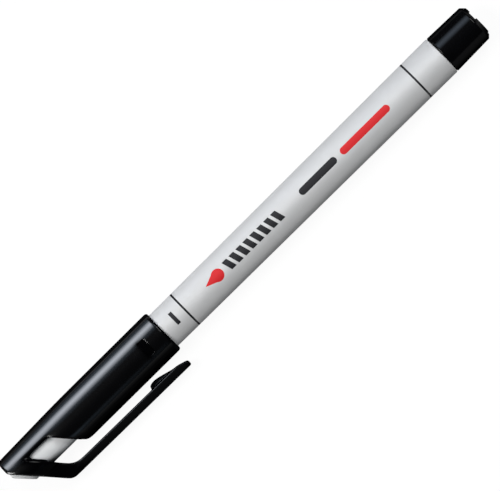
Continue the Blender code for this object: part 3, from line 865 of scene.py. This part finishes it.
# %% Lean the cage
OUTSIDE_FROM = 5.0
ROOT_TURN = math.radians(22.5)
FIELD_AT, FIELD_HALF = 40.48, 1.0
FIELD_FROM, FIELD_TO = math.radians(67), math.radians(113)
outside = [(face, spot) for face, spot in spots(cap_mesh.faces) if radius_of(spot) > OUTSIDE_FROM]
root_faces = [
    face for face, spot in outside if station(0) < spot.x < station(BAND) and turn_of(spot) < ROOT_TURN
]
field_faces = [
    face
    for face, spot in outside
    if abs(spot.x - FIELD_AT) < FIELD_HALF and FIELD_FROM < turn_of(spot) < FIELD_TO and spot.z > 0
]
CLIP_HALF, WINDOW_REACH, CORNER_PULL = 2.1, -1.6, 0.7
DRAFT_BAR, DRAFT_TOP = 0.8, 0.5
DRAFT_TURNS = (math.radians(35), math.radians(70))
BLUNT_REACH = -END_ON_AXIS / LEAN
BLUNT_LOOPS = {END_LOOP: 0.8, PLATE: 2.0}
CAP_LEAN = (13.0, 24.0)
BLUNT_RADIUS, TAPER_RISE, TAPER_LENGTH = 4.93, 0.453, 18
WALL_RADIUS, WALL_RISE, WALL_LENGTH = 5.383, 0.023, 27.7
CROWN, CROWN_FROM = 0.004, 43.4


def cap_radius(x):
    """Radius of the cap's outer wall: a taper, an almost straight wall, and a slight crown at the mouth."""
    if x < TAPER_LENGTH:
        return BLUNT_RADIUS + TAPER_RISE * x / TAPER_LENGTH
    crown = CROWN * max(x - CROWN_FROM, 0) ** 2
    return WALL_RADIUS + WALL_RISE * (x - TAPER_LENGTH) / WALL_LENGTH - crown


def respaced(turn, root, window):
    """Turns the columns so that those of the clip's root and of the window's edge come to these angles."""
    keys = [(0, 0), (ROOT_TURN, root), (WINDOW_TURN, window), (math.pi, math.pi)]
    for (a, b), (c, d) in zip(keys, keys[1:]):
        if turn <= c + 1e-6:
            return b + (turn - a) / (c - a) * (d - b)
    return turn


for vert in cap_mesh.verts:
    x0, radius = vert.co.x, radius_of(vert.co)
    turn0, side = turn_of(vert.co), 1 if vert.co.z >= 0 else -1
    outer, deep = abs(radius - OUTER_NOMINAL) < SAME, abs(radius - DEEP_BORE) < SAME
    share = fade(x0, *CAP_LEAN)
    lowest = next((BLUNT_LOOPS[d] for d in BLUNT_LOOPS if abs(x0 - station(d)) < NEAR), 0.0)
    at_bar = abs(x0 - station(BAND)) < NEAR
    in_window = deep and station(BAND) - NEAR < x0 < station(WINDOW_END) + NEAR
    edge_reach = BLUNT_REACH if x0 < station(0) + NEAR else WINDOW_REACH
    edge_reach += DRAFT_TOP if in_window else 0.0
    x, turn = x0, turn0
    for _ in range(4):
        radius = cap_radius(x) if outer else radius
        root_turn = math.asin(CLIP_HALF / max(radius, OUTSIDE_FROM))
        exact = respaced(turn0, root_turn, math.acos(edge_reach / radius))
        turn = turn0 + (exact - turn0) * share
        x = max(x0 + LEAN * share * radius * math.cos(turn), lowest)
    if at_bar and abs(turn0 - WINDOW_TURN) < NEAR:
        x += CORNER_PULL
    if at_bar and in_window:
        x += DRAFT_BAR / math.sin(SLANT) * (1 - fade(turn0, *DRAFT_TURNS))
    set_round(vert, x, radius * (1 + ROUND_LOSS), turn, side)
print(f"Leaned: {len(root_faces)} faces for the clip's root, {len(field_faces)} for the field")

# %% [markdown]
# The clip grows out of the cap by extrusion. The patch on the cap's end is extruded again and again, and each new end
# is laid on the next section of the clip: first up the slanted bar, round the elbow, then along the strap to its thin
# tip. A section is given by its outer and its inner point, so one matrix carries the faces from one to the next.

# %% Clip
STRAP_OUTER, STRAP_INNER, SPLAY = 9.123, 7.083, math.tan(math.radians(0.45))
ELBOW = END_ON_AXIS + LEAN * STRAP_OUTER
INNER_ELBOW = 7.103
OUTER_BEND, INNER_BEND = 2.6, 4.0
TIP, TAPER, TAPER_SLOPE = 44.95, 42.3, math.tan(math.radians(16))


def strap_outer(x):
    """A point, along the axis and away from it, on the outer side of the strap."""
    return Vector((x, STRAP_OUTER + (x - ELBOW) * SPLAY))


def strap_inner(x):
    """The same on its inner side, which rises towards the tip."""
    return Vector((x, STRAP_INNER + (x - ELBOW) * SPLAY + max(x - TAPER, 0) * TAPER_SLOPE))


def bar_point(reach, depth):
    """A point on the slanted bar, this far from the axis and this deep inside the slanted end."""
    return Vector((station(depth) + LEAN * reach, reach))


inner_corner = station(BAND) + LEAN * INNER_ELBOW
outer_arc = rounded([bar_point(6.0, 0), (*strap_outer(ELBOW), OUTER_BEND), strap_outer(30)])[1:-1]
inner_arc = rounded([bar_point(5.0, BAND), (*strap_inner(inner_corner), INNER_BEND), strap_inner(30)])[1:-1]
sections = [(bar_point(6.7, 0), bar_point(5.62, BAND))]
sections += list(zip(outer_arc, inner_arc))
STRAP_STEPS = ((13.6, 16.2), (18.0, 19.5), (24.0, 24.4), (29.5, 29.5), (34.6, 34.6))
sections += [(strap_outer(a), strap_inner(b)) for a, b in STRAP_STEPS]
RIB = (35.0, 35.9, 37.2, 39.4, 41.4)
sections += [(strap_outer(x), strap_inner(x)) for x in (*RIB, TAPER, 43.6, 44.5)]


def section_matrix(outer, inner):
    """Places a section: its x runs from the outer to the inner point, its z across the clip."""
    down = inner - outer
    return Matrix(((down.x, down.y, 0, outer.x), (-down.y, down.x, 0, -outer.y), (0, 0, 1, 0), (0, 0, 0, 1)))


COLUMNS = (0.0, 0.65, 1.3, CLIP_HALF)
TIP_DROP, TIP_RISE, TIP_NARROWING = 0.08, 0.12, 0.9
end_faces, points = extruded(cap_mesh, root_faces)
outer, inner = sections[0]
for vert in points:
    depth = depth_of(vert)
    column = round((len(COLUMNS) - 1) * vert.co.z / CLIP_HALF)
    spot = outer.lerp(inner, round(2 * depth / BAND) / 2)
    vert.co = (spot.x, -spot.y, math.copysign(COLUMNS[abs(column)], column))
for old, new in zip(sections, sections[1:]):
    end_faces, points = extruded(cap_mesh, end_faces)
    carry = section_matrix(*new) @ section_matrix(*old).inverted()
    bmesh.ops.transform(cap_mesh, matrix=carry, verts=points)
end_faces, points = extruded(cap_mesh, end_faces)
last = (strap_outer(TIP) + Vector((0, -TIP_DROP)), strap_inner(TIP) + Vector((0, TIP_RISE)))
carry = section_matrix(*last) @ section_matrix(*sections[-1]).inverted()
bmesh.ops.transform(cap_mesh, matrix=carry, verts=points)
bmesh.ops.scale(cap_mesh, verts=points, vec=(1, 1, TIP_NARROWING))
print(f"Clip: {len(sections) + 1} sections from the cap to the tip")

# %% [markdown]
# A narrow rib under the strap grips the cloth of a pocket. It is extruded from the strap's inner faces: the points at
# its crest are moved towards the cap, and those at its far end stay on the strap and are merged with it. The field
# near the mouth is an inset whose middle is set back.

# %% Rib and field
CREST, RIB_STEP, RIB_HALF = 6.19, 0.74, COLUMNS[2]
UNDERSIDE, FACES_CAP = (6.5, 8.0), 0.7
FIELD_INSETS = ((0.06, 0.0), (0.05, -0.22), (0.06, 0.0))
cap_mesh.normal_update()
rib_faces = [
    face
    for face, spot in spots(cap_mesh.faces)
    if RIB[0] < spot.x < RIB[-1] and abs(spot.z) < RIB_HALF
    and UNDERSIDE[0] < -spot.y < UNDERSIDE[1] and face.normal.y > FACES_CAP
]
_, points = extruded(cap_mesh, rib_faces)
for vert in points:
    x, inner_reach = vert.co.x, strap_inner(vert.co.x).y
    if x < RIB[0] + NEAR:
        vert.co.y = -(inner_reach - RIB_STEP)
    elif x < RIB[-1] - NEAR:
        slope = max(x - RIB[2], 0) / (RIB[-1] - RIB[2])
        vert.co.y = -(CREST + (inner_reach - CREST) * slope)
bmesh.ops.remove_doubles(cap_mesh, verts=cap_mesh.verts, dist=1e-3)
for thickness, depth in FIELD_INSETS:
    bmesh.ops.inset_region(cap_mesh, faces=field_faces, thickness=thickness, depth=depth, use_even_offset=True)
print(f"Rib from {len(rib_faces)} faces")

# %% [markdown]
# Subdivision would round every edge as wide as its faces are. A narrow bevel along each real edge keeps it tight: the
# new faces hold the surface close to the edge, and what is left is a small round that catches the light. The corners of
# the window keep no bevel, so they come out soft, as they are on the moulding.

# %% Edges of the cap
EDGE_ROUND, HARD_ANGLE = 0.36, math.radians(38)
RIB_ZONE, WINDOW_ZONE = 34, (3, 18)
BEHIND_SLANT, CLIP_FROM = 16, 5.6
RIB_REACH, WALL_STEP = (5.8, 7.2), 0.5
cap_mesh.normal_update()


def is_hard(edge):
    """Tells the edges of the clip, of the slanted end and of the window. It leaves out the rib, the field and the
    corners of the window, which run through the wall."""
    if not edge.is_manifold or edge.calc_face_angle() < HARD_ANGLE:
        return False
    a, b = (vert.co for vert in edge.verts)
    start, end = sorted((a.x, b.x))
    nearer, further = sorted((-a.y, -b.y))
    if further <= CLIP_FROM:
        through_wall = abs(radius_of(a) - radius_of(b)) > WALL_STEP
        in_corner = through_wall and start > WINDOW_ZONE[0] and end < WINDOW_ZONE[1]
        return start <= BEHIND_SLANT and not in_corner
    under_strap = nearer < RIB_REACH[1] and further > RIB_REACH[0]
    in_rib = start > RIB_ZONE and (under_strap or max(abs(a.z), abs(b.z)) < RIB_HALF + 0.1)
    return not in_rib


hard = [edge for edge in cap_mesh.edges if is_hard(edge)]
bmesh.ops.bevel(
    cap_mesh, geom=hard, offset=EDGE_ROUND, offset_type="OFFSET", segments=2, profile=0.5, affect="EDGES",
    clamp_overlap=False, material=-1,
)
bmesh.ops.recalc_face_normals(cap_mesh, faces=cap_mesh.faces)
print(f"Cap cage: {len(hard)} hard edges bevelled, {len(cap_mesh.faces)} faces")

# %% [markdown]
# The cap is a glossy black plastic with a satin bloom, so its highlight is soft. As pictured it shines along the top
# and stays black along both sides, so the gloss is whole on the top and underneath, and dulled elsewhere: along the
# sides, on the slanted end and its bar, round the window, in the field, at the mouth and on the rib, and partly on the
# strap's outer face. Faint lines of gloss are left on the edges of the slanted end and of the bar. This is again a mask
# on the points, worked out from where each lies and which way it faces.

# %% Worn places of the cap
BAR_LINE, END_LINE, END_LINE_FADE = 0.12, 0.65, 0.4
STRAP_DULLNESS, STRAP_FROM, MOUTH_ZONE = 0.75, 8.5, 44


def worn_place(vert):
    """How dull the cap is at one of its small worn places or gloss lines, or None if the point lies in none."""
    x, z, reach = vert.co.x, vert.co.z, reach_of(vert)
    radius, depth = radius_of(vert.co), depth_of(vert)
    beside_window = -1.8 < reach < -0.9 and BAND - 0.3 < depth < WINDOW_END + 0.3
    in_field = abs(x - FIELD_AT) < FIELD_HALF - NEAR and z > 4.5 and (radius < 5.32 or x < FIELD_AT)
    before_field = -1.1 < x - FIELD_AT < -0.9 and z > 4.9
    on_rib = x > RIB_ZONE and 5.8 < reach < 7.3 and abs(z) < 1.5
    on_bar_edge = radius > 4.75 and BAND - 0.5 < depth < BAND + 0.4 and -1.2 < reach < 2.2
    on_end_edge = radius > 4.8 and 0.05 < depth < 0.2 and -1.9 < reach < 4.2
    if beside_window or in_field or before_field or on_rib:
        return 1.0
    if on_bar_edge:
        return 1 - BAR_LINE * ramp(reach, -0.9, 0.2)
    if on_end_edge:
        return 1 - END_LINE + END_LINE_FADE * ramp(reach, 0.0, 3.0)
    return None


def dullness(vert, side):
    """How dull the cap is at a point, from 0 to 1. Side is the share that comes from facing the clip's side."""
    place_dullness = worn_place(vert)
    if place_dullness is not None:
        return place_dullness
    reach, normal = reach_of(vert), vert.normal
    towards_end = -normal.x * math.sin(SLANT) - normal.y * math.cos(SLANT)
    upper = ramp(normal.z, -0.25, 0.0)
    side = max(0.88 * side + 0.12 * ramp(-normal.y, 0.53, 0.7), ramp(-normal.z, -0.6, -0.52))
    if depth_of(vert) < BAND + 0.2:
        side = max(side, ramp(reach, 0.3, 1.5))
    dull = max(side * upper, ramp(towards_end, 0.3, 0.55))
    if reach > STRAP_FROM and normal.y < -0.9:
        dull = STRAP_DULLNESS
    if vert.co.x > MOUTH_ZONE:
        on_back = ramp(normal.y, 0.3, 0.4)
        dull = max(dull, ramp(normal.x, 0.08 + 0.17 * on_back, 0.22 + 0.33 * on_back))
    return dull


rubbed = paint_side(cap_mesh, "rubbed", 0.38, 0.53)
for vert in cap_mesh.verts:
    vert[rubbed] = dullness(vert, vert[rubbed])
print(f"Worn: {sum(vert[rubbed] > 0.5 for vert in cap_mesh.verts)} of {len(cap_mesh.verts)} points")

# %% [markdown]
# The finished cage gets its Subdivision Surface. In the CAD model the clip springs on a joint of its own, although it
# is one moulding with the cap.

# %% Cap finish
CAP_BLACK, CAP_MARKED = (0.0008, 0.0008, 0.0011, 1), (0.0018, 0.0018, 0.0023, 1)
cap_black, tree, shader = new_material("cap_black")
add_skin(tree, shader, grain=4600.0, drift=0.04, roughness=0.15, height=0.00002)
add_marked_colour(tree, shader, CAP_BLACK, CAP_MARKED, size=220.0)
add_gloss(tree, shader, level=1.0, start=0.5, end=0.92, roughness=0.15, share=0.015)
cap = finished("cap_moulding", cap_mesh, cap_black, sharp=180)
smooth = cap.modifiers.new("rounded", "SUBSURF")
smooth.levels = smooth.render_levels = 2
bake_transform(cap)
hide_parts("cap_shell", "pocket_clip")

# %% [markdown]
# ## Ink store
# The rod of ink fibre and its film sleeve fill the barrel and never show. Their CAD shapes are right as they are, so
# they stay and only get their finish: long fibres run along the rod, and the film is a thin milky sheet.

# %% Ink store finish
INK_DARK, INK_LIGHTER = (0.004, 0.004, 0.006, 1), (0.03, 0.03, 0.036, 1)
FILM, FILM_MARKED = (0.70, 0.72, 0.75, 1), (0.80, 0.81, 0.83, 1)
STRAND_SCALE = (60.0, 3000.0, 3000.0)
fibre, tree, shader = new_material("ink_fibre", Roughness=0.95, Specular_IOR_Level=0.1)
where = add_node(tree, "ShaderNodeTexCoord").outputs["Object"]
drawn = add_node(tree, "ShaderNodeMapping", {"Vector": where, "Scale": STRAND_SCALE})
strands = add_node(tree, "ShaderNodeTexNoise", {"Vector": drawn.outputs[0], "Scale": 1.0, "Detail": 3.0})
add_colour(tree, shader, strands.outputs["Fac"], INK_DARK, INK_LIGHTER)

film, tree, shader = new_material("wrap_film")
add_skin(tree, shader, grain=900.0, drift=0.15, roughness=0.25, height=0.00002)
add_marked_colour(tree, shader, FILM, FILM_MARKED, size=150.0)

for node, material in (("ink_reservoir", fibre), ("reservoir_wrap", film)):
    materials = frame["nodes"][node].data.materials
    materials.clear()
    materials.append(material)
print("Ink store keeps its CAD shape")

# %% [markdown]
# ## The finer pieces are meant to stay inside the CAD model's box. Both boxes are printed, so they can be compared.
# The finer pieces have to stay inside the CAD model's box. Both boxes are written down, so they can be compared.

# %% Print both boxes
visual_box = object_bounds()
boxes = {"cad": [list(corner) for corner in cad_box], "visual": [list(corner) for corner in visual_box]}
for name, (low, high) in boxes.items():
    print(name, [round((b - a) / MM, 3) for a, b in zip(low, high)], "mm")
